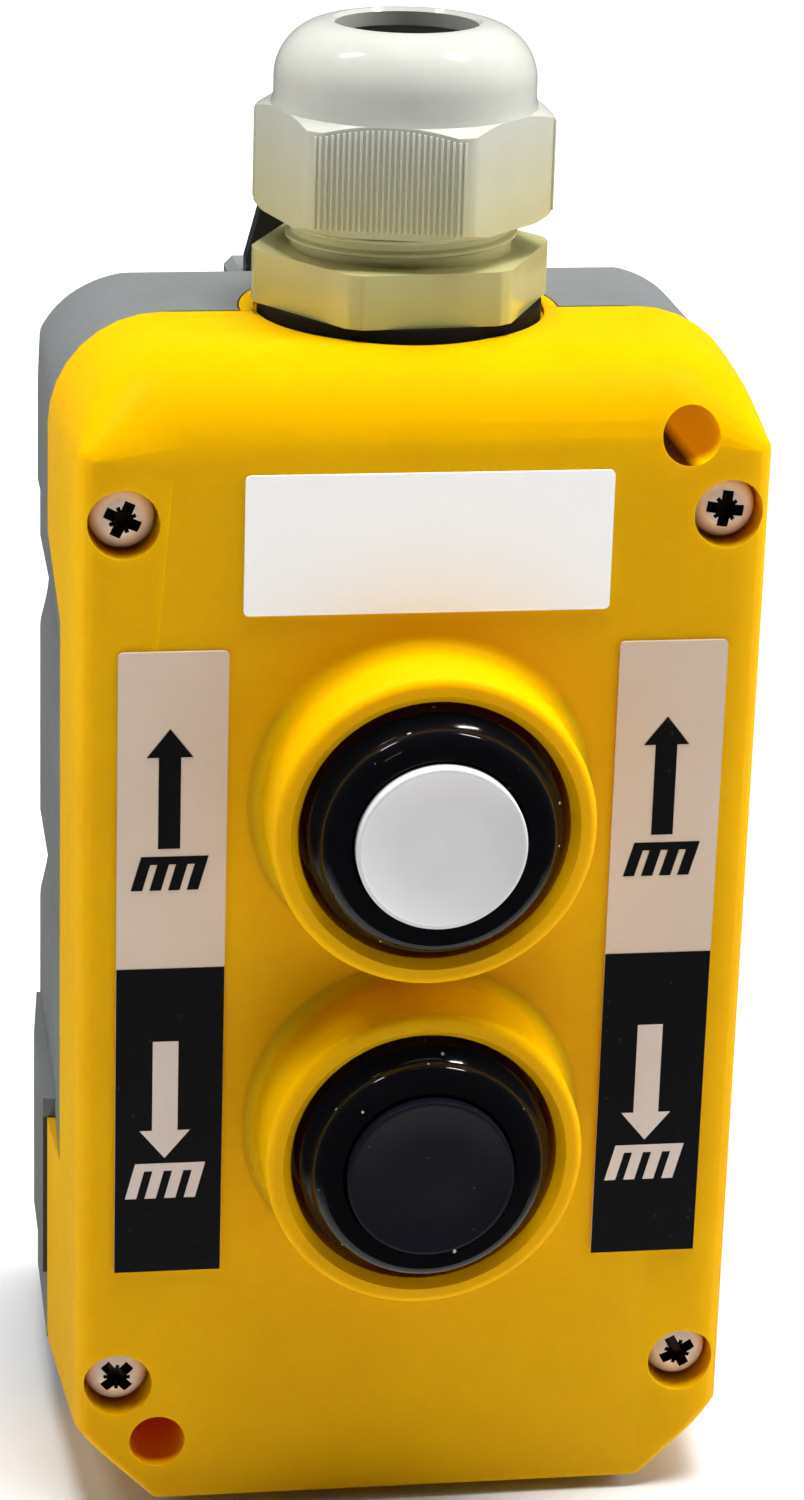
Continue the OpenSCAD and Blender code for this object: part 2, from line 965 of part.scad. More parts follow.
module blank_label() {
    color(white) placed()
        label(blank_w, blank_h, -blank_w / 2, body_h - blank_down - blank_h);
}

module label_left() {
    color(white) placed()
        label(label_w, label_h, -label_x - label_w, label_z);
}

module label_right() {
    color(white) placed()
        label(label_w, label_h, label_x, label_z);
}

// outline of the bezel with its sleeve, radius against depth
module bezel_outline() {
    brow = 1.4;
    crown_d = -collar_h - bezel_crown + 1;
    rim_d = -collar_h + 0.6;
    difference() {
        union() {
            polygon([
                [0, 0], [bezel_r, 0], [bezel_r, rim_d], [bezel_r - brow, rim_d - brow],
                [crown_r + brow, crown_d], [crown_r, crown_d], [0, crown_d]
            ]);
            // rounded brow between the rim and the crown
            translate([crown_r + brow - 0.2, crown_d + brow])
                circle(brow);
            square([sleeve_r, sleeve_end]);
        }
        translate([0, -reach])
            square([mouth_r, reach + mouth_floor]);
        translate([0, mouth_floor - eps])
            square([guide_r, web_front - mouth_floor + eps]);
        translate([0, web_front - eps])
            square([stem_r + run, reach]);
        translate([0, web_back])
            square([rear_bore, reach]);
    }
}

module bezel(z) {
    color(black) placed() union() {
        turned(0, z)
            bezel_outline();
        // key against turning in the well floor
        translate([-key_w / 2, -eps, z + sleeve_r - 1])
            cube([key_w, floor_back, key_h + 1]);
    }
}

module bezel_upper() {
    bezel(button_zs[0]);
}

module bezel_lower() {
    bezel(button_zs[1]);
}

module plunger(z) {
    slot = 1.2;
    color(white) placed() difference() {
        turned(0, z)
            difference() {
                union() {
                    translate([0, disc_face + disc_t])
                        square([head_r, head_back - disc_face - disc_t]);
                    translate([0, plate_under - eps])
                        square([stem_r, stem_end - plate_under + eps]);
                    translate([0, web_back + run])
                        square([hook_r, hook_h]);
                    translate([0, web_back + run + hook_h - eps])
                        polygon([[0, 0], [hook_r, 0], [stem_r, hook_h], [0, hook_h]]);
                }
                translate([stem_r, plate_under])
                    square([skirt_in - stem_r, reach]);
                translate([0, disc_face + disc_t - eps])
                    square([peg_r + run, 2 + eps]);
            }
        // slots that let the hooks spring in
        for (a = [45, 135])
            translate([0, 0, z])
                rotate([0, a, 0])
                    translate([-slot / 2, 1, -hook_r - 1])
                        cube([slot, stem_end - 3, 2 * hook_r + 2]);
    }
}

module plunger_upper() {
    plunger(button_zs[0]);
}

module plunger_lower() {
    plunger(button_zs[1]);
}

// coloured disc with a bonding peg
module disc(z) {
    edge = 0.5;
    placed() turned(0, z) {
        translate([0, disc_face + edge])
            square([disc_d / 2, disc_t - edge]);
        translate([0, disc_face])
            square([disc_d / 2 - edge, disc_t]);
        translate([disc_d / 2 - edge, disc_face + edge])
            circle(edge);
        translate([0, disc_face + disc_t - eps])
            square([peg_r, peg_h + eps]);
    }
}

module disc_upper() {
    color(white)
        disc(button_zs[0]);
}

module disc_lower() {
    color(black)
        disc(button_zs[1]);
}

// coil along the depth between two depths, its ends just inside them
module coil(from, to, r, wire, turns, z) {
    sides = 6;
    steps = 14;
    count = turns * steps;
    start = from + wire * 1.02;
    rise = (to - from - 2.04 * wire) / count;
    points = [
        for (i = [0 : count])
            for (j = [0 : sides - 1])
                let (
                    a = 360 * i / steps,
                    b = 360 * j / sides,
                    q = r + wire * cos(b)
                )
                    [q * cos(a), start + rise * i + wire * sin(b), q * sin(a)]
    ];
    faces = [
        [for (j = [0 : sides - 1]) j],
        for (i = [0 : count - 1])
            for (j = [0 : sides - 1])
                let (
                    k = i * sides + j,
                    m = i * sides + (j + 1) % sides
                )
                    [k, k + sides, m],
        for (i = [0 : count - 1])
            for (j = [0 : sides - 1])
                let (
                    k = i * sides + j,
                    m = i * sides + (j + 1) % sides
                )
                    [m, k + sides, m + sides],
        [for (j = [sides - 1 : -1 : 0]) count * sides + j]
    ];
    color(steel) placed() translate([0, 0, z])
        polyhedron(points, faces);
}

module return_spring_upper() {
    coil(plate_under, web_front, coil_r, coil_wire, coil_turns, button_zs[0]);
}

module return_spring_lower() {
    coil(plate_under, web_front, coil_r, coil_wire, coil_turns, button_zs[1]);
}

module bezel_gaskets() {
    color(black) placed()
        for (z = button_zs)
            tube(0, gasket_t, bezel_r - 0.8, sleeve_r + key_h + 0.3, 0, z);
}

module ring_nuts() {
    grips = 8;
    color(steel) placed()
        for (z = button_zs)
            difference() {
                tube(floor_back, floor_back + nut_t, nut_r, sleeve_r + run, 0, z);
                for (i = [0 : grips - 1])
                    translate([0, 0, z])
                        rotate([0, i * 360 / grips, 0])
                            translate([-1, floor_back + 1, nut_r - 1])
                                cube([2, nut_t, 2]);
            }
}

// insulating body of one contact block
module contact_block(z) {
    color(block_grey) placed() difference() {
        union() {
            rod(block_front - block_collar, block_front + 1, block_collar_r, 0, z);
            translate([-block_half_x, block_front, z - block_half_z])
                cube([2 * block_half_x, block_back - block_front, 2 * block_half_z]);
        }
        rod(block_front - block_collar - 1, block_front, sleeve_r + run, 0, z);
        translate([-reach, block_front + block_wall, z - room_half])
            cube([2 * reach, block_back - block_front - 2 * block_wall, 2 * room_half]);
        rod(block_front - 1, block_front + block_wall + 1, post_r + run, 0, z);
        rod(block_back - block_wall - 1, block_back + 1, pin_r + run, 0, z);
        for (s = [-1, 1]) {
            rod(fixed_d, block_back + 1, terminal_head_r + 0.3, 0, z + s * terminal_z);
            rod(fixed_d - terminal_len, fixed_d + 1, terminal_r + thread_free, 0, z + s * terminal_z);
            translate([-fixed_half_x, fixed_d, z + s * (room_half + fixed_out) / 2 - (fixed_out - room_half) / 2 - 0.1])
                cube([2 * fixed_half_x, fixed_t + 0.02, fixed_out - room_half + 0.1]);
        }
    }
}

module contact_block_upper() {
    contact_block(button_zs[0]);
}

module contact_block_lower() {
    contact_block(button_zs[1]);
}

// sliding carrier that the plunger pushes back
module carrier(z) {
    color(white) placed() difference() {
        union() {
            rod(post_start, carrier_front + 1, post_r, 0, z);
            translate([-carrier_half_x, carrier_front, z - carrier_half_z])
                cube([2 * carrier_half_x, carrier_back - carrier_front, 2 * carrier_half_z]);
            rod(carrier_back - 1, block_back, pin_r, 0, z);
        }
        translate([-bridge_half_x, bridge_d, z - reach / 2])
            cube([2 * bridge_half_x, bridge_t, reach]);
    }
}

module carrier_upper() {
    carrier(button_zs[0]);
}

module carrier_lower() {
    carrier(button_zs[1]);
}

// moving bridge with a contact rivet at each end
module bridge(z) {
    color(copper) placed() {
        translate([-bridge_half_x, bridge_d, z - bridge_half_z])
            cube([2 * bridge_half_x, bridge_t, 2 * bridge_half_z]);
        for (s = [-1, 1])
            rod(bridge_d + bridge_t - eps, bridge_d + bridge_t + rivet_h, rivet_r, 0, z + s * rivet_z);
    }
}

module bridge_upper() {
    bridge(button_zs[0]);
}

module bridge_lower() {
    bridge(button_zs[1]);
}

module contact_spring_upper() {
    coil(carrier_back, block_back - block_wall, contact_coil_r, contact_wire, contact_turns, button_zs[0]);
}

module contact_spring_lower() {
    coil(carrier_back, block_back - block_wall, contact_coil_r, contact_wire, contact_turns, button_zs[1]);
}

// two fixed strips with a rivet each and a hole for the terminal screw
module fixed_contacts(z) {
    color(copper) placed()
        for (s = [0, 1])
            translate([0, 0, z])
                mirror([0, 0, s])
                    difference() {
                        union() {
                            translate([-fixed_half_x, fixed_d, fixed_in])
                                cube([2 * fixed_half_x, fixed_t, fixed_out - fixed_in]);
                            rod(fixed_d - rivet_h, fixed_d + eps, rivet_r, 0, rivet_z);
                        }
                        rod(fixed_d - 1, fixed_d + fixed_t + 1, terminal_r + run, 0, terminal_z);
                    }
}

module fixed_contacts_upper() {
    fixed_contacts(button_zs[0]);
}

module fixed_contacts_lower() {
    fixed_contacts(button_zs[1]);
}

module terminal_screws() {
    slot = 0.8;
    seat = fixed_d + fixed_t;
    color(steel) placed()
        for (z = button_zs)
            for (s = [-1, 1])
                difference() {
                    union() {
                        rod(seat, seat + terminal_head_h, terminal_head_r, 0, z + s * terminal_z);
                        rod(seat - terminal_len, seat + 1, terminal_r, 0, z + s * terminal_z);
                    }
                    translate([-terminal_head_r - 1, seat + 1, z + s * terminal_z - slot / 2])
                        cube([2 * terminal_head_r + 2, terminal_head_h, slot]);
                }
}

front_cover();
rear_shell();
cover_seal();
cover_screws();
suspension_plate();
plate_screws();
gland_body();
gland_nut();
gland_insert();
gland_seal();
gland_washer();
gland_locknut();
blank_label();
label_left();
label_right();
bezel_upper();
bezel_lower();
plunger_upper();
plunger_lower();
disc_upper();
disc_lower();
return_spring_upper();
return_spring_lower();
bezel_gaskets();
ring_nuts();
contact_block_upper();
contact_block_lower();
carrier_upper();
carrier_lower();
bridge_upper();
bridge_lower();
contact_spring_upper();
contact_spring_lower();
fixed_contacts_upper();
fixed_contacts_lower();
terminal_screws();
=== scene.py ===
import json
import math

import bmesh
import bpy
from mathutils import Matrix, Vector


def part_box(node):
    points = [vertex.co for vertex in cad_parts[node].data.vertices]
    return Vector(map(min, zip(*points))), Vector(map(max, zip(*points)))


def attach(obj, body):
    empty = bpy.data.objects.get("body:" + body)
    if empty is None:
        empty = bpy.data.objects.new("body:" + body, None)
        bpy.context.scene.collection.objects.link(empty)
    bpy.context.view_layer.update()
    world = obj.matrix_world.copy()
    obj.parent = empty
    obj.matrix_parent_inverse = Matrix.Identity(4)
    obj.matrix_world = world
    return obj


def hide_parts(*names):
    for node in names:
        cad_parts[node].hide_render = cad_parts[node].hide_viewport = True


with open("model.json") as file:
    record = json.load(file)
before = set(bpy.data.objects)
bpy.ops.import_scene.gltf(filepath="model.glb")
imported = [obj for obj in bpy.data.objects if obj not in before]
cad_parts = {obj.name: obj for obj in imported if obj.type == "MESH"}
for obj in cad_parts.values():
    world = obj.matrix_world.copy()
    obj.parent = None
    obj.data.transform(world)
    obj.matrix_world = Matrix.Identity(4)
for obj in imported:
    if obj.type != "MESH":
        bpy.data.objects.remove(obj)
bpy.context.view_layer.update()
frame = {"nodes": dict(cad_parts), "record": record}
mm = 0.001
print("frame loaded:", len(frame["nodes"]), "nodes")

view = {
    "spot": (-0.0668, -0.4090, 0.2470),
    "turn": (72.605, -0.975, -6.639),  # degrees
    "lens": 88.98,
    "sensor": 36,
    "shift": (0.1000, -0.1598),  # kept small, so that the object stays in the frame in other views
    "nearest": 0.01,
    "farthest": 20,
}


def makeCamera():
    data = bpy.data.cameras.new("photoCamera")
    data.lens = view["lens"]
    data.sensor_width = view["sensor"]
    data.shift_x, data.shift_y = view["shift"]
    data.clip_start, data.clip_end = view["nearest"], view["farthest"]
    camera = bpy.data.objects.new("photoCamera", data)
    camera.location = view["spot"]
    camera.rotation_euler = [math.radians(a) for a in view["turn"]]
    bpy.context.scene.collection.objects.link(camera)
    bpy.context.scene.camera = camera


makeCamera()


def newGroup(name, inputs, outputs):
    group = bpy.data.node_groups.new(name, "ShaderNodeTree")
    for label, kind, value in inputs:
        socket = group.interface.new_socket(label, in_out="INPUT", socket_type=kind)
        if value is not None:
            socket.default_value = value
    for label, kind in outputs:
        group.interface.new_socket(label, in_out="OUTPUT", socket_type=kind)
    return group, group.nodes.new("NodeGroupInput"), group.nodes.new("NodeGroupOutput")


def mathNode(tree, operation, a=None, b=None):
    node = tree.nodes.new("ShaderNodeMath")
    node.operation = operation
    for index, value in enumerate((a, b)):
        if isinstance(value, (int, float)):
            node.inputs[index].default_value = value
        elif value is not None:
            tree.links.new(value, node.inputs[index])
    return node.outputs[0]


def noiseNode(tree, vector, scale, detail=4, rough=0.5):
    node = tree.nodes.new("ShaderNodeTexNoise")
    node.inputs["Detail"].default_value = detail
    node.inputs["Roughness"].default_value = rough
    if isinstance(scale, (int, float)):
        node.inputs["Scale"].default_value = scale
    else:
        tree.links.new(scale, node.inputs["Scale"])
    tree.links.new(vector, node.inputs["Vector"])
    return node.outputs["Fac"]


def rangeNode(tree, value, low, high, toLow=0.0, toHigh=1.0):
    node = tree.nodes.new("ShaderNodeMapRange")
    for label, number in (("From Min", low), ("From Max", high), ("To Min", toLow), ("To Max", toHigh)):
        node.inputs[label].default_value = number
    tree.links.new(value, node.inputs["Value"])
    return node.outputs["Result"]


grain = {
    "fineScale": 2600.0,
    "broadScale": 26.0,
    "speckScale": 560.0,
    "smearTimes": 9.0,  # how much finer the smears are than the broad marks
    "smearInHeight": 0.6,
    "broadInTone": 0.7,
    "smearInTone": 0.3,
    "dotSize": 0.16,
    "rareOver": 0.6,  # share of the cells that stay without a speck
}


def makeGrainGroup():
    # fine moulded grain, broad flow marks and small specks of dust
    group, ins, outs = newGroup(
        "mouldedGrain",
        [
            ("Vector", "NodeSocketVector", None),
            ("Grain Scale", "NodeSocketFloat", grain["fineScale"]),
            ("Broad Scale", "NodeSocketFloat", grain["broadScale"]),
            ("Speck Scale", "NodeSocketFloat", grain["speckScale"]),
        ],
        [("Height", "NodeSocketFloat"), ("Tone", "NodeSocketFloat"), ("Specks", "NodeSocketFloat")],
    )
    vector = ins.outputs["Vector"]
    fine = noiseNode(group, vector, ins.outputs["Grain Scale"], detail=3, rough=0.6)
    broad = noiseNode(group, vector, ins.outputs["Broad Scale"], detail=3, rough=0.55)
    smearScale = mathNode(group, "MULTIPLY", ins.outputs["Broad Scale"], grain["smearTimes"])
    smear = noiseNode(group, vector, smearScale, detail=5, rough=0.65)
    height = mathNode(group, "ADD", fine, mathNode(group, "MULTIPLY", smear, grain["smearInHeight"]))
    broadPart = mathNode(group, "MULTIPLY", broad, grain["broadInTone"])
    smearPart = mathNode(group, "MULTIPLY", smear, grain["smearInTone"])
    tone = mathNode(group, "ADD", broadPart, smearPart)
    cells = group.nodes.new("ShaderNodeTexVoronoi")
    cells.feature = "F1"
    group.links.new(vector, cells.inputs["Vector"])
    group.links.new(ins.outputs["Speck Scale"], cells.inputs["Scale"])
    chance = group.nodes.new("ShaderNodeSeparateColor")
    group.links.new(cells.outputs["Color"], chance.inputs["Color"])
    reach = mathNode(group, "MULTIPLY", chance.outputs[1], grain["dotSize"])
    dot = mathNode(group, "LESS_THAN", cells.outputs["Distance"], reach)
    rare = mathNode(group, "GREATER_THAN", chance.outputs[0], grain["rareOver"])
    group.links.new(height, outs.inputs["Height"])
    group.links.new(tone, outs.inputs["Tone"])
    group.links.new(mathNode(group, "MULTIPLY", dot, rare), outs.inputs["Specks"])
    return group


brush = {
    "scale": 300.0,
    "stretch": (1.0, 1.0, 9.0),
    "cloudTimes": 0.4,  # scale of the clouds against that of the lines
    "toneLow": 0.3,
    "toneHigh": 0.7,
    "duller": 0.1,
    "bump": 0.08,
}


def makeBrushGroup():
    # fine drawn lines along one axis, for metal
    group, ins, outs = newGroup(
        "drawnMetal",
        [("Vector", "NodeSocketVector", None), ("Scale", "NodeSocketFloat", brush["scale"])],
        [("Height", "NodeSocketFloat"), ("Tone", "NodeSocketFloat")],
    )
    stretch = group.nodes.new("ShaderNodeMapping")
    stretch.inputs["Scale"].default_value = brush["stretch"]
    group.links.new(ins.outputs["Vector"], stretch.inputs["Vector"])
    lines = noiseNode(group, stretch.outputs["Vector"], ins.outputs["Scale"], detail=6, rough=0.7)
    cloudScale = mathNode(group, "MULTIPLY", ins.outputs["Scale"], brush["cloudTimes"])
    clouds = noiseNode(group, ins.outputs["Vector"], cloudScale, detail=3)
    group.links.new(lines, outs.inputs["Height"])
    group.links.new(clouds, outs.inputs["Tone"])
    return group


jointLine = {
    "backY": 1.65 * mm,
    "frontY": -9.35 * mm,  # the joint steps forward beside the finger grips
    "stepZ": 40.0 * mm,
    "rampLow": 108.0 * mm,
    "rampHigh": 116.0 * mm,
    "dark": 0.16 * mm,
    "clear": 0.5 * mm,
}


def makeJointGroup():
    # thin line of shade and dirt where the two halves of the housing meet
    look = jointLine
    inputs, outputs = [("Vector", "NodeSocketVector", None)], [("Mask", "NodeSocketFloat")]
    group, ins, outs = newGroup("jointShade", inputs, outputs)
    split = group.nodes.new("ShaderNodeSeparateXYZ")
    group.links.new(ins.outputs["Vector"], split.inputs["Vector"])
    y, z = split.outputs["Y"], split.outputs["Z"]
    ramp = rangeNode(group, z, look["rampLow"], look["rampHigh"], look["frontY"], look["backY"])
    underStep = mathNode(group, "LESS_THAN", z, look["stepZ"])
    foot = mathNode(group, "MULTIPLY", underStep, look["backY"] - look["frontY"])
    away = mathNode(group, "ABSOLUTE", mathNode(group, "SUBTRACT", y, mathNode(group, "ADD", ramp, foot)))
    line = rangeNode(group, away, look["dark"], look["clear"], 1.0, 0.0)
    level = mathNode(group, "ABSOLUTE", mathNode(group, "SUBTRACT", z, look["stepZ"]))
    step = rangeNode(group, level, look["dark"], look["clear"], 1.0, 0.0)
    behind = mathNode(group, "GREATER_THAN", y, look["frontY"])
    ahead = mathNode(group, "LESS_THAN", y, look["backY"])
    inside = mathNode(group, "MULTIPLY", behind, ahead)
    mask = mathNode(group, "MAXIMUM", line, mathNode(group, "MULTIPLY", step, inside))
    group.links.new(mask, outs.inputs["Mask"])
    return group


grainGroup = makeGrainGroup()
jointGroup = makeJointGroup()
brushGroup = makeBrushGroup()
print("shader groups made")

finishes = {
    "yellow_cover": {
        "color": (0.75, 0.405, 0.0002), "dark": (0.69, 0.355, 0.0001),
        "rough": 0.4, "shine": 0.04, "bump": 0.03, "specks": 0.0, "glow": 0.3, "joint": 0.25,
    },
    "grey_shell": {
        "color": (0.185, 0.195, 0.195), "dark": (0.155, 0.163, 0.163),
        "rough": 0.5, "shine": 0.2, "bump": 0.05, "specks": 0.03, "joint": 0.9,
    },
    "black_rubber": {
        "color": (0.010, 0.010, 0.011), "dark": (0.005, 0.005, 0.006),
        "rough": 0.6, "shine": 0.08, "bump": 0.06, "specks": 0.05,
    },
    "black_plate": {
        "color": (0.014, 0.015, 0.017), "dark": (0.008, 0.008, 0.010),
        "rough": 0.34, "shine": 0.35, "bump": 0.09, "specks": 0.05,
    },
    "pale_nylon": {
        "color": (0.52, 0.53, 0.48), "dark": (0.46, 0.47, 0.42),
        "rough": 0.13, "shine": 0.5, "bump": 0.02, "specks": 0.03,
    },
    "grey_nylon": {
        "color": (0.20, 0.20, 0.19), "dark": (0.13, 0.13, 0.12),
        "rough": 0.4, "shine": 0.4, "bump": 0.03, "specks": 0.0,
    },
    "label_white": {
        "color": (0.66, 0.53, 0.42), "dark": (0.61, 0.48, 0.38),
        "rough": 0.4, "shine": 0.3, "bump": 0.015, "specks": 0.0,
    },
    "black_gloss": {
        "color": (0.004, 0.004, 0.005), "dark": (0.002, 0.002, 0.003),
        "rough": 0.09, "shine": 0.45, "bump": 0.008, "specks": 0.8,
    },
    "disc_white": {
        "color": (0.68, 0.67, 0.68), "dark": (0.63, 0.62, 0.63),
        "rough": 0.5, "shine": 0.3, "bump": 0.02, "specks": 0.0,
    },
    "disc_black": {
        "color": (0.008, 0.008, 0.015), "dark": (0.005, 0.005, 0.010),
        "rough": 0.5, "shine": 0.2, "bump": 0.05, "specks": 0.06,
    },
    "block_grey": {
        "color": (0.06, 0.06, 0.065), "dark": (0.04, 0.04, 0.045),
        "rough": 0.5, "shine": 0.4, "bump": 0.05, "specks": 0.0,
    },
    "carrier_white": {
        "color": (0.62, 0.62, 0.58), "dark": (0.52, 0.52, 0.48),
        "rough": 0.45, "shine": 0.4, "bump": 0.03, "specks": 0.0,
    },
}
metals = {
    "yellow_zinc": {
        "color": (1.0, 0.93, 0.86), "dark": (0.98, 0.80, 0.68),
        "rough": 0.16, "scale": 500.0, "metallic": 0.3,
    },
    "steel": {
        "color": (0.60, 0.60, 0.61), "dark": (0.45, 0.45, 0.46),
        "rough": 0.28, "scale": 400.0,
    },
    "contact_metal": {
        "color": (0.75, 0.47, 0.27), "dark": (0.55, 0.32, 0.16),
        "rough": 0.28, "scale": 400.0,
    },
}


def startMaterial(name):
    material = bpy.data.materials.new(name)
    material.use_nodes = True
    tree = material.node_tree
    shader = tree.nodes["Principled BSDF"]
    coords = tree.nodes.new("ShaderNodeTexCoord")
    return material, tree, shader, coords.outputs["Object"]


def mixColor(tree, factor, first, second):
    node = tree.nodes.new("ShaderNodeMix")
    node.data_type = "RGBA"
    tree.links.new(factor, node.inputs["Factor"])
    for label, value in (("A", first), ("B", second)):
        socket = [s for s in node.inputs if s.name == label and s.type == "RGBA"][0]
        if isinstance(value, tuple):
            socket.default_value = (*value, 1.0)
        else:
            tree.links.new(value, socket)
    return [s for s in node.outputs if s.type == "RGBA"][0]


def addBump(tree, shader, height, strength, distance=0.3 * mm):
    bump = tree.nodes.new("ShaderNodeBump")
    bump.inputs["Strength"].default_value = strength
    bump.inputs["Distance"].default_value = distance
    tree.links.new(height, bump.inputs["Height"])
    tree.links.new(bump.outputs["Normal"], shader.inputs["Normal"])


moulded = {
    "toneLow": 0.35,
    "toneHigh": 0.65,
    "wearLow": 0.3,
    "wearHigh": 0.7,
    "duller": 0.05,
    "glossier": 0.04,
    "speckColor": (0.6, 0.58, 0.55),
    "jointColor": (0.02, 0.018, 0.016),
    "glowRadius": (1.0, 0.4, 0.05),  # red light travels furthest in the plastic
    "glowScale": 0.004,
}


def mouldedMaterial(name, look):
    material, tree, shader, coords = startMaterial(name)
    marks = tree.nodes.new("ShaderNodeGroup")
    marks.node_tree = grainGroup
    tree.links.new(coords, marks.inputs["Vector"])
    tone = rangeNode(tree, marks.outputs["Tone"], moulded["toneLow"], moulded["toneHigh"])
    color = mixColor(tree, tone, look["dark"], look["color"])
    if look["specks"]:
        amount = mathNode(tree, "MULTIPLY", marks.outputs["Specks"], look["specks"])
        color = mixColor(tree, amount, color, moulded["speckColor"])
    if "joint" in look:
        joint = tree.nodes.new("ShaderNodeGroup")
        joint.node_tree = jointGroup
        tree.links.new(coords, joint.inputs["Vector"])
        shade = mathNode(tree, "MULTIPLY", joint.outputs["Mask"], look["joint"])
        color = mixColor(tree, shade, color, moulded["jointColor"])
    tree.links.new(color, shader.inputs["Base Color"])
    dull, gloss = look["rough"] + moulded["duller"], look["rough"] - moulded["glossier"]
    rough = rangeNode(tree, marks.outputs["Tone"], moulded["wearLow"], moulded["wearHigh"], dull, gloss)
    tree.links.new(rough, shader.inputs["Roughness"])
    shader.inputs["Specular IOR Level"].default_value = look["shine"]
    addBump(tree, shader, marks.outputs["Height"], look["bump"])
    if "glow" in look:
        # light that enters the plastic and comes out a little further on
        shader.inputs["Subsurface Weight"].default_value = look["glow"]
        shader.inputs["Subsurface Radius"].default_value = moulded["glowRadius"]
        shader.inputs["Subsurface Scale"].default_value = moulded["glowScale"]
    return material


def metalMaterial(name, look):
    material, tree, shader, coords = startMaterial(name)
    lines = tree.nodes.new("ShaderNodeGroup")
    lines.node_tree = brushGroup
    lines.inputs["Scale"].default_value = look["scale"]
    tree.links.new(coords, lines.inputs["Vector"])
    color = mixColor(tree, lines.outputs["Tone"], look["dark"], look["color"])
    tree.links.new(color, shader.inputs["Base Color"])
    shader.inputs["Metallic"].default_value = look.get("metallic", 1.0)
    low, high, dull = brush["toneLow"], brush["toneHigh"], look["rough"] + brush["duller"]
    rough = rangeNode(tree, lines.outputs["Tone"], low, high, dull, look["rough"])
    tree.links.new(rough, shader.inputs["Roughness"])
    addBump(tree, shader, lines.outputs["Height"], brush["bump"])
    return material


# painted light: yellow bounced up from the cover, strongest at the nylon's lower end
paintedCoverBounce = {"low": 142 * mm, "high": 166 * mm, "tint": (1.0, 0.89, 0.24)}


def paintCoverBounce(material):
    # painted reflection of the yellow cover: the nylon's colour turns yellow towards its lower end, nearest
    # the cover
    tree = material.node_tree
    shader = tree.nodes["Principled BSDF"]
    before = shader.inputs["Base Color"].links[0].from_socket
    coords = tree.nodes.new("ShaderNodeTexCoord")
    split = tree.nodes.new("ShaderNodeSeparateXYZ")
    tree.links.new(coords.outputs["Object"], split.inputs["Vector"])
    height = rangeNode(tree, split.outputs["Z"], paintedCoverBounce["low"], paintedCoverBounce["high"])
    multiply = tree.nodes.new("ShaderNodeMix")
    multiply.data_type, multiply.blend_type = "RGBA", "MULTIPLY"
    multiply.inputs["Factor"].default_value = 1.0
    sockets = {s.name: s for s in multiply.inputs if s.type == "RGBA"}
    tree.links.new(before, sockets["A"])
    tree.links.new(mixColor(tree, height, paintedCoverBounce["tint"], (1.0, 1.0, 1.0)), sockets["B"])
    tree.links.new([s for s in multiply.outputs if s.type == "RGBA"][0], shader.inputs["Base Color"])


materials = {name: mouldedMaterial(name, look) for name, look in finishes.items()}
paintCoverBounce(materials["pale_nylon"])
materials.update({name: metalMaterial(name, look) for name, look in metals.items()})
inks = {
    "inkBlack": {
        "color": (0.0045, 0.005, 0.007), "dark": (0.003, 0.003, 0.005),
        "rough": 0.4, "shine": 0.2, "bump": 0.02, "specks": 0.03,
    },
    "inkPale": {
        "color": (0.66, 0.57, 0.52), "dark": (0.60, 0.51, 0.46),
        "rough": 0.45, "shine": 0.2, "bump": 0.02, "specks": 0.0,
    },
    "blankPaper": {
        "color": (0.99, 0.99, 0.99), "dark": (0.97, 0.97, 0.97),
        "rough": 0.45, "shine": 0.3, "bump": 0.015, "specks": 0.0,
    },
}
inkMaterials = {name: mouldedMaterial(name, look) for name, look in inks.items()}
# painted glow and painted shade on the walls of the two through holes
litHole = {
    "low": 20 * mm,
    "high": 125 * mm,
    "dark": (0.10, 0.001, 0.0),
    "color": (0.62, 0.22, 0.002),
    "shadeBase": (0.03, 0.004, 0.0),
    "strength": 0.48,
    "reach": 3.5 * mm,
    "shadeFrom": 158.6 * mm,  # of x + z: the lower left of the upper hole stays dark, in painted shade
    "shadeTo": 160.4 * mm,
    "openTo": 30 * mm,  # of x + z: all of the lower hole lies below this
    "wallLean": 0.2,  # a wall's normal hardly leans towards the front
}
# painted shade: a dark metal for the inside of the screws' recesses
recessShadeLook = {"color": (0.16, 0.10, 0.085), "dark": (0.06, 0.035, 0.03), "rough": 0.22, "scale": 500.0}


def litHoleMaterial():
    # wall of a through hole: painted glow, an emission that stands in for light shining through the
    # plastic, more at the upper hole than at the lower, with painted shade at the lower left of the upper
    # hole
    material = mouldedMaterial("litHole", finishes["yellow_cover"])
    tree = material.node_tree
    shader = tree.nodes["Principled BSDF"]
    coords = tree.nodes.new("ShaderNodeTexCoord")
    split = tree.nodes.new("ShaderNodeSeparateXYZ")
    tree.links.new(coords.outputs["Object"], split.inputs["Vector"])
    height = rangeNode(tree, split.outputs["Z"], litHole["low"], litHole["high"])
    slant = mathNode(tree, "ADD", split.outputs["X"], split.outputs["Z"])
    lit = rangeNode(tree, slant, litHole["shadeFrom"], litHole["shadeTo"])
    lit = mathNode(tree, "MAXIMUM", lit, mathNode(tree, "LESS_THAN", slant, litHole["openTo"]))
    glow = mixColor(tree, height, litHole["dark"], litHole["color"])
    tree.links.new(mixColor(tree, lit, (0.0, 0.0, 0.0), glow), shader.inputs["Emission Color"])
    base = shader.inputs["Base Color"].links[0].from_socket
    tree.links.new(mixColor(tree, lit, litHole["shadeBase"], base), shader.inputs["Base Color"])
    shader.inputs["Emission Strength"].default_value = litHole["strength"]
    return material


inkMaterials["litHole"] = litHoleMaterial()
inkMaterials["screwRecessShade"] = metalMaterial("screwRecessShade", recessShadeLook)
print("materials made:", len(materials) + len(inkMaterials))

slotOf = {part["node"]: part["material_slot"] for part in frame["record"]["subparts"]}
bodyOf = {node: body for body, nodes in frame["record"]["behaviour"]["bodies"].items() for node in nodes}


def dress(piece, material):
    piece.data.materials.clear()
    piece.data.materials.append(material)


for nodeName, nodeObject in frame["nodes"].items():
    for holder in nodeObject.material_slots:
        holder.material = materials[slotOf[nodeName]]


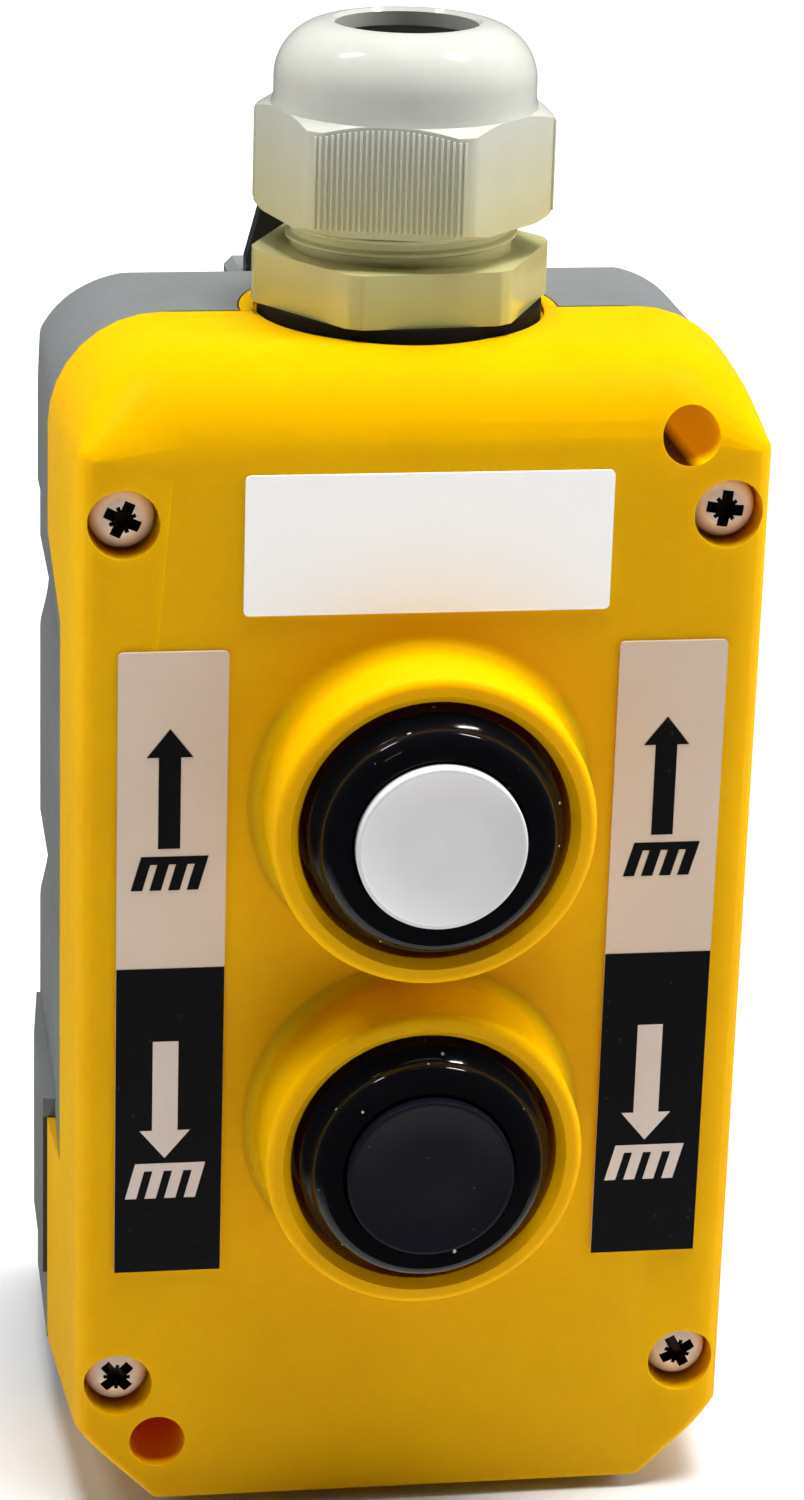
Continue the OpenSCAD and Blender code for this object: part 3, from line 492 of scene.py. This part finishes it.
def addPiece(name, mesh, body, slot, material=None, replaced=()):
    # a new object that follows a body and may stand in for nodes of the CAD model
    piece = bpy.data.objects.new(name, mesh)
    bpy.context.scene.collection.objects.link(piece)
    dress(piece, material or materials[slot])
    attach(piece, body)
    if replaced:
        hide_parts(*replaced)
    return piece


meshing = {
    "weld": 1e-6,  # points closer than this become one
    "copyAngle": 28,  # edges of the copies with a larger angle stay sharp
    "flatWeight": 100,
}


def meshFrom(work, name):
    mesh = bpy.data.meshes.new(name)
    work.to_mesh(mesh)
    work.free()
    return mesh


def markFaces(mesh, material, wanted):
    # gives the faces that a test picks out a second material
    mesh.materials.append(material)
    last = len(mesh.materials) - 1
    for face in mesh.polygons:
        if wanted(face):
            face.material_index = last


def onHoleWall(face):
    # true on the walls of the two through holes, in the front part of the cover
    if face.center.y > 0 or abs(face.normal.y) > litHole["wallLean"]:
        return False
    for mount in frame["record"]["mounts"]:
        if mount["name"].startswith("wall_hole"):
            x, _, z = mount["pos_m"]
            if math.hypot(face.center.x - x, face.center.z - z) < litHole["reach"]:
                return True
    return False


def weighNormals(piece):
    # keeps flat faces flat where they run into eased edges
    weigh = piece.modifiers.new("weighNormals", "WEIGHTED_NORMAL")
    weigh.keep_sharp = True
    weigh.weight = meshing["flatWeight"]


def shadeByAngle(mesh, angle):
    # smooth shading, with a sharp edge wherever two faces meet at a larger angle
    mesh.polygons.foreach_set("use_smooth", [True] * len(mesh.polygons))
    work = bmesh.new()
    work.from_mesh(mesh)
    for edge in work.edges:
        if len(edge.link_faces) == 2:
            edge.smooth = edge.calc_face_angle(0.0) < math.radians(angle)
        else:
            edge.smooth = False
    work.to_mesh(mesh)
    work.free()


coverEdge = {
    "start": 34.8 * mm,
    "end": 39.0 * mm,
    "radius": 6.6 * mm,
    "cuts": 7,
    "touch": 1e-7,  # points this close to a cut lie on it
    "back": -10.0 * mm,
    "front": -22.8 * mm,
}


def softenCoverEdges(work):
    # the face turns away softly along its two long edges
    look = coverEdge
    width = look["end"] - look["start"]
    for side in (-1, 1):
        for index in range(look["cuts"]):
            x = side * (look["start"] + width * index / look["cuts"])
            everything = work.verts[:] + work.edges[:] + work.faces[:]
            bmesh.ops.bisect_plane(
                work, geom=everything, dist=look["touch"], plane_co=(x, 0, 0), plane_no=(1, 0, 0)
            )
    for vert in work.verts:
        past = min(max(0.0, abs(vert.co.x) - look["start"]), width)
        drop = look["radius"] - math.sqrt(look["radius"] ** 2 - past**2)
        share = (vert.co.y - look["back"]) / (look["front"] - look["back"])
        share = min(max(share, 0.0), 1.0)
        vert.co.y += drop * share * share * (3 - 2 * share)


flatSided = ("gland_nut", "gland_body", "gland_locknut")


def smoothCopy(nodeName, material=None):
    # the node's own mesh, merged so that its curved faces shade smoothly
    work = bmesh.new()
    work.from_mesh(frame["nodes"][nodeName].data)
    bmesh.ops.remove_doubles(work, verts=work.verts, dist=meshing["weld"])
    if nodeName == "front_cover":
        softenCoverEdges(work)
    name = nodeName + "Smooth"
    mesh = meshFrom(work, name)
    shadeByAngle(mesh, meshing["copyAngle"])
    piece = addPiece(name, mesh, bodyOf[nodeName], slotOf[nodeName], material, replaced=(nodeName,))
    if nodeName in flatSided:
        weighNormals(piece)


smoothNodes = [
    "front_cover", "rear_shell", "gland_body", "gland_insert", "gland_seal", "gland_washer",
    "gland_locknut", "gland_nut", "suspension_plate", "plate_screws", "bezel_upper", "bezel_lower",
    "plunger_upper", "plunger_lower", "ring_nuts", "contact_block_upper", "contact_block_lower",
    "return_spring_upper", "return_spring_lower", "contact_spring_upper", "contact_spring_lower",
]
for nodeName in smoothNodes:
    smoothCopy(nodeName)
smoothCopy("blank_label", material=inkMaterials["blankPaper"])
markFaces(bpy.data.objects["front_coverSmooth"].data, inkMaterials["litHole"], onHoleWall)
print("smooth copies made")

labels = {
    "splitZ": 38.55 * mm,  # the change of colour, above the label's lower edge
    "film": 0.06 * mm,
    "inset": 0.02 * mm,
}
signs = [
    # lift counts films of ink, the other numbers are millimetres from the label's middle and lower edge
    {
        "name": "ArrowUp", "ink": "inkBlack", "lift": 0,
        "x": -0.3, "tail": 53.25, "tip": 67.65, "head": 3.4, "wide": 5.25, "shaft": 2.5,
    },
    {
        "name": "CombUp", "ink": "inkBlack", "lift": 0,
        "x": -0.2, "low": 48.2, "high": 52.3, "wide": 8.8, "lean": 1.15,
    },
    {
        "name": "ArrowDown", "ink": "inkPale", "lift": 1,
        "x": -0.45, "tail": 29.45, "tip": 14.7, "head": 3.5, "wide": 5.8, "shaft": 2.95,
    },
    {
        "name": "CombDown", "ink": "inkPale", "lift": 1,
        "x": -0.35, "low": 9.55, "high": 14.0, "wide": 9.3, "lean": 1.15,
    },
]
combLook = {"tines": 4, "tine": 1.3, "bar": 0.95}  # sizes in millimetres too


def flatShape(points, y, thick, name):
    # closed outline in X and Z, given a small thickness towards the viewer
    work = bmesh.new()
    corners = [work.verts.new((x, y, z)) for x, z in points]
    face = work.faces.new(corners)
    grown = bmesh.ops.extrude_face_region(work, geom=[face])
    moved = [g for g in grown["geom"] if isinstance(g, bmesh.types.BMVert)]
    bmesh.ops.translate(work, verts=moved, vec=(0, -thick, 0))
    bmesh.ops.recalc_face_normals(work, faces=work.faces)
    return meshFrom(work, name)


def arrowPoints(sign):
    # upwards or downwards, whichever way the tip lies
    step = 1 if sign["tip"] > sign["tail"] else -1
    shoulder = sign["tip"] - step * sign["head"]
    half, shaft, x = sign["wide"] / 2, sign["shaft"] / 2, sign["x"]
    return [
        (x - shaft, sign["tail"]), (x + shaft, sign["tail"]), (x + shaft, shoulder),
        (x + half, shoulder), (x, sign["tip"]), (x - half, shoulder), (x - shaft, shoulder),
    ]


def combPoints(sign):
    # a bar with tines that hang from it, all leaning to the right
    tall = sign["high"] - sign["low"]
    tine, bar = combLook["tine"], combLook["bar"]
    body = sign["wide"] - sign["lean"]
    pitch = (body - tine) / (combLook["tines"] - 1)

    def slant(at, height):
        return (sign["x"] - sign["wide"] / 2 + at + sign["lean"] * height / tall, sign["low"] + height)

    points = [slant(body, tall), slant(0, tall)]
    for index in range(combLook["tines"]):
        start = index * pitch
        points += [slant(start, 0), slant(start + tine, 0)]
        if index < combLook["tines"] - 1:
            points += [slant(start + tine, tall - bar), slant(start + pitch, tall - bar)]
    return points


def makeDirectionLabel(nodeName):
    # dark lower half and four signs, each a thin film of ink on the label's plate
    low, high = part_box(nodeName)
    middle = (low.x + high.x) / 2
    smoothCopy(nodeName)
    inset, film = labels["inset"], labels["film"]
    left, right = low.x + inset, high.x - inset
    bottom, top = low.z + inset, low.z + labels["splitZ"]
    dark = [(left, bottom), (right, bottom), (right, top), (left, top)]
    darkMesh = flatShape(dark, low.y, film, nodeName + "Dark")
    addPiece(nodeName + "Dark", darkMesh, "housing", "label_white", inkMaterials["inkBlack"])
    for sign in signs:
        points = arrowPoints(sign) if "tip" in sign else combPoints(sign)
        placed = [(middle + x * mm, low.z + z * mm) for x, z in points]
        mesh = flatShape(placed, low.y - sign["lift"] * film, film, nodeName + sign["name"])
        addPiece(nodeName + sign["name"], mesh, "housing", "label_white", inkMaterials[sign["ink"]])


makeDirectionLabel("label_left")
makeDirectionLabel("label_right")
print("labels made")


def turnedProfile(work, points, steps, centre, axis):
    # a profile turned once round an axis and closed
    corners = [work.verts.new(point) for point in points]
    edges = [work.edges.new(pair) for pair in zip(corners, corners[1:])]
    bmesh.ops.spin(
        work, geom=corners + edges, cent=centre, axis=axis, angle=math.tau, steps=steps,
        use_merge=True, use_duplicate=False,
    )
    bmesh.ops.remove_doubles(work, verts=work.verts, dist=meshing["weld"])
    bmesh.ops.recalc_face_normals(work, faces=work.faces)


discLook = {
    "lip": 0.55 * mm,
    "dish": 0.14 * mm,
    "round": 0.22 * mm,
    "thick": 2 * mm,
    "steps": 128,
    "shadeAngle": 50,
}


def discOutline(front, radius):
    # distance from the axis and depth: dished face, raised lip, rounded rim, flat back
    lip, dish, soft = discLook["lip"], discLook["dish"], discLook["round"]
    back = front + discLook["thick"]
    return [
        (0, front + dish), (radius * 0.5, front + dish), (radius - lip - 0.4 * soft, front + dish),
        (radius - lip, front + 0.35 * dish), (radius - lip + 0.4 * soft, front), (radius - soft, front),
        (radius - 0.3 * soft, front + 0.3 * soft), (radius, front + soft), (radius, back - soft),
        (radius - soft, back), (0, back),
    ]


def makeDisc(nodeName):
    # coloured disc with a narrow raised lip round its face
    low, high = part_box(nodeName)
    centre = Vector(((low.x + high.x) / 2, 0, (low.z + high.z) / 2))
    outline = discOutline(low.y, (high.z - low.z) / 2)
    work = bmesh.new()
    points = [(centre.x + r, y, centre.z) for r, y in outline]
    turnedProfile(work, points, discLook["steps"], centre, (0, 1, 0))
    mesh = meshFrom(work, nodeName + "Turned")
    shadeByAngle(mesh, discLook["shadeAngle"])
    addPiece(nodeName + "Turned", mesh, bodyOf[nodeName], slotOf[nodeName], replaced=(nodeName,))


makeDisc("disc_upper")
makeDisc("disc_lower")
print("discs made")

coverScrews = {
    "headRadius": 3.72 * mm,
    "headTall": 2.35 * mm,
    "shankRadius": 1.9 * mm,
    "tip": 1.5 * mm,
    "steps": 72,
    "armLong": 5.4 * mm,
    "armWide": 1.6 * mm,
    "armDeep": 1.7 * mm,
    "tickLong": 4.0 * mm,
    "tickWide": 0.6 * mm,
    "tickDeep": 0.85 * mm,
    "taper": 0.62,
    "margin": 3.75 * mm,  # from the box of all four to a screw's axis
    "turns": (25, 8, 48, 62),  # degrees, upper left, upper right, lower left, lower right
    "shadeAngle": 32,
}
recess = {
    "from": 0.25 * mm,  # depths below the crown between which a face may belong to the recess
    "to": 2.3 * mm,
    "reach": 2.9 * mm,
    "sure": 2.2 * mm,  # within this distance of the axis every such face does
    "wallLean": 0.35,
}


def turnAbout(letter, degrees):
    return Matrix.Rotation(math.radians(degrees), 3, letter)


def crossBar(long, wide, deep, turn):
    # one bar of the recess, narrower towards its bottom
    taper = coverScrews["taper"]
    work = bmesh.new()
    made = bmesh.ops.create_cube(work, size=1.0)["verts"]
    bmesh.ops.scale(work, verts=made, vec=(long, deep * 2, wide))
    inner = [v for v in made if v.co.y > 0]
    bmesh.ops.scale(work, verts=inner, vec=(taper, 1, taper))
    bmesh.ops.rotate(work, verts=made, cent=(0, 0, 0), matrix=turnAbout("Y", turn))
    return meshFrom(work, "crossBar")


def cutBy(mesh, cutter):
    # mesh minus cutter, worked out by a boolean and kept as a plain mesh
    body = bpy.data.objects.new("body", mesh)
    tool = bpy.data.objects.new("tool", cutter)
    for item in (body, tool):
        bpy.context.scene.collection.objects.link(item)
    cut = body.modifiers.new("cut", "BOOLEAN")
    cut.object, cut.operation, cut.solver = tool, "DIFFERENCE", "EXACT"
    done = bpy.data.meshes.new_from_object(body.evaluated_get(bpy.context.evaluated_depsgraph_get()))
    for item in (body, tool):
        bpy.data.objects.remove(item)
    return done


def screwMesh(length):
    # pan head with a rounded crown, front at y = 0, shank towards +Y
    look = coverScrews
    r, tall, shank = look["headRadius"], look["headTall"], look["shankRadius"]
    outline = [
        (0, 0), (0.30 * r, 0.015 * tall), (0.52 * r, 0.07 * tall), (0.70 * r, 0.17 * tall),
        (0.84 * r, 0.32 * tall), (0.94 * r, 0.53 * tall), (0.99 * r, 0.76 * tall), (r, 0.9 * tall),
        (0.985 * r, tall), (shank, tall), (shank, length - look["tip"]), (0.5 * shank, length), (0, length),
    ]
    work = bmesh.new()
    turnedProfile(work, [(x, y, 0) for x, y in outline], look["steps"], (0, 0, 0), (0, 1, 0))
    mesh = meshFrom(work, "screwHead")
    bars = [(look["armLong"], look["armWide"], look["armDeep"], turn) for turn in (0, 90)]
    bars += [(look["tickLong"], look["tickWide"], look["tickDeep"], turn) for turn in (45, 135)]
    for bar in bars:
        mesh = cutBy(mesh, crossBar(*bar))
    return mesh


def makeCoverScrews():
    # the same screw four times, each turned by its own angle
    look = coverScrews
    low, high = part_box("cover_screws")
    single = screwMesh(high.y - low.y)
    margin = look["margin"]
    rows, columns = (high.z - margin, low.z + margin), (low.x + margin, high.x - margin)
    spots = [(x, z) for z in rows for x in columns]
    work = bmesh.new()
    for (x, z), turn in zip(spots, look["turns"]):
        before = set(work.verts)
        work.from_mesh(single)
        fresh = [v for v in work.verts if v not in before]
        bmesh.ops.rotate(work, verts=fresh, cent=(0, 0, 0), matrix=turnAbout("Y", turn))
        bmesh.ops.translate(work, verts=fresh, vec=(x, low.y, z))
    mesh = meshFrom(work, "coverScrews")
    shadeByAngle(mesh, look["shadeAngle"])
    piece = addPiece("coverScrews", mesh, "housing", "yellow_zinc", replaced=("cover_screws",))

    def inRecess(face):
        far = min(math.hypot(face.center.x - x, face.center.z - z) for x, z in spots)
        depth = face.center.y - low.y
        steep = abs(face.normal.y) < recess["wallLean"]
        deepEnough = recess["from"] < depth < recess["to"]
        return deepEnough and far < recess["reach"] and (far < recess["sure"] or steep)

    # the faces inside the recesses get the dark metal, as painted shade
    markFaces(piece.data, inkMaterials["screwRecessShade"], inRecess)


makeCoverScrews()
print("cover screws made")

nutRibs = {
    "flats": (255.5, 15.5, 135.5),  # directions of the ribbed flats
    "acrossFlats": 30.6 * mm,
    "cornerRadius": 17.07 * mm,  # the corners are turned down to this
    "count": 27,
    "wide": 0.32 * mm,
    "proud": 0.28 * mm,
    "low": 153.7 * mm,
    "high": 165.2 * mm,  # at the middle of a flat, lower towards its corners
    "chamfer": 30,  # degrees
    "halfFlat": 30,  # degrees, half of one of the hexagon's six sides
    "ease": 0.12 * mm,
    "shadeAngle": 40,
}


def makeNutRibs():
    # fine upright ribs on three flats of the cap nut, carried on round the corners
    look = nutRibs
    low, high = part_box("gland_nut")
    axis = Vector(((low.x + high.x) / 2, (low.y + high.y) / 2, 0))
    apothem, corner = look["acrossFlats"] / 2, look["cornerRadius"]
    half = math.sqrt(corner**2 - apothem**2)
    bend = math.atan2(half, apothem)
    reach = half + corner * (math.radians(look["halfFlat"]) - bend)
    pitch = 2 * reach / look["count"]
    outer = []
    work = bmesh.new()
    for index in range(look["count"]):
        along = (index + 0.5) * pitch - reach
        past = max(0.0, abs(along) - half) / corner
        turn = math.copysign(bend + past, along) if past else 0.0
        across = 0.0 if past else along
        radius = corner if past else apothem
        drop = (math.hypot(radius, across) - apothem) * math.tan(math.radians(look["chamfer"]))
        top = look["high"] - drop
        made = bmesh.ops.create_cube(work, size=1.0)["verts"]
        bmesh.ops.scale(work, verts=made, vec=(2 * look["proud"], look["wide"], top - look["low"]))
        bmesh.ops.translate(work, verts=made, vec=(radius, across, (top + look["low"]) / 2))
        edges = {e for v in made for e in v.link_edges}
        outer += [e for e in edges if all(v.co.x > radius for v in e.verts)]
        bmesh.ops.rotate(work, verts=made, cent=(0, 0, 0), matrix=Matrix.Rotation(turn, 3, "Z"))
    bmesh.ops.bevel(
        work, geom=outer, offset=look["ease"], offset_type="OFFSET", affect="EDGES", segments=2,
        profile=0.5, material=-1,
    )
    flat = work.verts[:] + work.edges[:] + work.faces[:]
    groups = [flat]
    for _ in look["flats"][1:]:
        groups.append(bmesh.ops.duplicate(work, geom=flat)["geom"])
    for geom, turn in zip(groups, look["flats"]):
        verts = [g for g in geom if isinstance(g, bmesh.types.BMVert)]
        bmesh.ops.rotate(work, verts=verts, cent=(0, 0, 0), matrix=turnAbout("Z", turn))
        bmesh.ops.translate(work, verts=verts, vec=axis)
    mesh = meshFrom(work, "glandNutRibs")
    shadeByAngle(mesh, look["shadeAngle"])
    addPiece("glandNutRibs", mesh, "housing", "pale_nylon")


neckThread = {
    "root": 12.7 * mm,
    "crest": 13.35 * mm,
    "low": 149.0 * mm,
    "high": 153.0 * mm,
    "pitch": 1.5 * mm,
    "flank": 0.5 * mm,
    "flat": 0.16 * mm,
    "steps": 72,  # in one turn
    "shadeAngle": 60,
}


def makeNeckThread():
    # a rounded ridge that climbs round the neck between the two hexagons
    look = neckThread
    low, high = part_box("gland_nut")
    axis = Vector(((low.x + high.x) / 2, (low.y + high.y) / 2, 0))
    turns = (look["high"] - look["low"] - 2 * look["flank"]) / look["pitch"]
    steps = int(turns * look["steps"])
    start = look["low"] + look["flank"]
    outline = [
        (look["root"], -look["flank"]), (look["crest"], -look["flat"]),
        (look["crest"], look["flat"]), (look["root"], look["flank"]),
    ]
    work = bmesh.new()
    corners = [work.verts.new((axis.x + r, axis.y, start + z)) for r, z in outline]
    face = work.faces.new(corners)
    bmesh.ops.spin(
        work, geom=[face], cent=axis, axis=(0, 0, 1), dvec=(0, 0, look["pitch"] / look["steps"]),
        angle=math.tau * turns, steps=steps, use_merge=False, use_duplicate=False,
    )
    bmesh.ops.recalc_face_normals(work, faces=work.faces)
    mesh = meshFrom(work, "glandNeckThread")
    shadeByAngle(mesh, look["shadeAngle"])
    addPiece("glandNeckThread", mesh, "housing", "pale_nylon")


makeNutRibs()
makeNeckThread()
print("gland ribs and thread made")

stageLook = {
    "size": 6.0,
    "color": (0.69, 0.69, 0.69),
    "dark": (0.66, 0.66, 0.66),
    "cloudScale": 3.0,
    "rough": 0.9,
}


def makeStage():
    # large sheet of paper under the object
    work = bmesh.new()
    bmesh.ops.create_grid(work, x_segments=1, y_segments=1, size=stageLook["size"] / 2)
    floor = bpy.data.objects.new("floor", meshFrom(work, "floor"))
    bpy.context.scene.collection.objects.link(floor)
    material, tree, shader, coords = startMaterial("floorPaper")
    soft = noiseNode(tree, coords, stageLook["cloudScale"])
    tree.links.new(mixColor(tree, soft, stageLook["color"], stageLook["dark"]), shader.inputs["Base Color"])
    shader.inputs["Roughness"].default_value = stageLook["rough"]
    floor.data.materials.append(material)
    floor.visible_glossy = False  # the glossy parts mirror the room, not the paper


sun = {"turn": (1.0, 4.0, 0.0), "angle": 30, "power": 5.4}  # turn and angle in degrees
lamps = {
    "ceilingLeft": {
        "spot": (-0.66, 0.12, 1.25), "aim": (0.0, 0.0, 0.15),
        "size": (0.06, 0.30), "power": 3.0, "mirrored": True,
    },
    "ceilingRight": {
        "spot": (0.62, -0.12, 1.3), "aim": (0.0, 0.0, 0.15),
        "size": (0.07, 0.30), "power": 4.0, "mirrored": True,
    },
    "sideRight": {
        "spot": (1.1, 0.05, 0.45), "aim": (0.0, 0.0, 0.1),
        "size": (0.7, 0.7), "power": 9.5, "mirrored": False,
    },
    "sideLeft": {
        "spot": (-1.1, 0.25, 0.35), "aim": (0.0, 0.0, 0.1),
        "size": (0.7, 0.7), "power": 5.0, "mirrored": False,
    },
}
surround = {
    "front": 0.02,
    "back": 0.10,
    "start": -0.3,  # from here to the end the light goes from front to back
    "end": 0.4,
    "below": 1.0,
    "belowStart": -0.5,
    "belowEnd": -0.75,
    "seen": 1.05,  # what the camera itself sees
}


def makeSurround():
    # dim room, darkest in front and bright steeply below, plain white where the camera sees it
    world = bpy.data.worlds.new("studio")
    bpy.context.scene.world = world
    world.use_nodes = True
    tree = world.node_tree
    back = tree.nodes["Background"]
    coords = tree.nodes.new("ShaderNodeTexCoord")
    split = tree.nodes.new("ShaderNodeSeparateXYZ")
    tree.links.new(coords.outputs["Generated"], split.inputs["Vector"])
    look, y, z = surround, split.outputs["Y"], split.outputs["Z"]
    light = rangeNode(tree, y, look["start"], look["end"], look["front"], look["back"])
    below = rangeNode(tree, z, look["belowStart"], look["belowEnd"], 0.0, look["below"])
    light = mathNode(tree, "MAXIMUM", light, below)
    rays = tree.nodes.new("ShaderNodeLightPath")
    seen = rangeNode(tree, rays.outputs["Is Camera Ray"], 0.0, 1.0, 0.0, look["seen"])
    tree.links.new(mathNode(tree, "MAXIMUM", light, seen), back.inputs["Strength"])
    back.inputs["Color"].default_value = (1, 1, 1, 1)


def addLamp(name, data, mirrored):
    lamp = bpy.data.objects.new(name, data)
    lamp.visible_glossy = mirrored
    bpy.context.scene.collection.objects.link(lamp)
    return lamp


def makeLights():
    data = bpy.data.lights.new("softSun", "SUN")
    data.angle = math.radians(sun["angle"])
    data.energy = sun["power"]
    lamp = addLamp("softSun", data, False)
    lamp.rotation_euler = [math.radians(a) for a in sun["turn"]]
    for name, look in lamps.items():
        data = bpy.data.lights.new(name, "AREA")
        data.shape = "RECTANGLE"
        data.size, data.size_y = look["size"]
        data.energy = look["power"]
        lamp = addLamp(name, data, look["mirrored"])
        lamp.location = look["spot"]
        aim = Vector(look["aim"]) - Vector(look["spot"])
        lamp.rotation_euler = aim.to_track_quat("-Z", "Y").to_euler()


makeStage()
makeSurround()
makeLights()
bpy.context.scene.view_settings.view_transform = "Standard"
print("stage and lights made")
